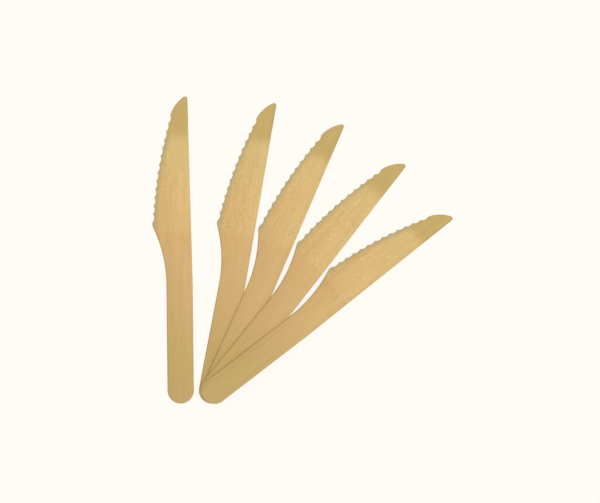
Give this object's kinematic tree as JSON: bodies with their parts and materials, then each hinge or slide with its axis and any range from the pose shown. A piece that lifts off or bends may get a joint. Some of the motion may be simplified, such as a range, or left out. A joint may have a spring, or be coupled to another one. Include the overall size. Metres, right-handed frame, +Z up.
{
  "type": "pack of wooden knives",
  "caption": "Flat disposable table knives stamped from birch veneer, with scalloped edges; most lie fanned from their rounded handle ends, and a single knife lies beside them.",
  "frame": {"origin": "middle of the pack's footprint, on the surface that the knives lie on", "axes": "+Z up, away from the surface; +Y from the handle ends towards the single knife's tip; +X towards the open side of the fan, on the spine side of the single knife"},
  "size_m": [0.1614, 0.165, 0.0081],
  "materials": {
    "birch_veneer": "bare sanded birch, matt, with a slight burnish at the tips and the scalloped edges"
  },
  "bodies": {
    "root": {"lone_knife": "birch_veneer", "fan_knife_1": "birch_veneer", "fan_knife_2": "birch_veneer", "fan_knife_3": "birch_veneer", "fan_knife_4": "birch_veneer"}
  },
  "joints": []
}
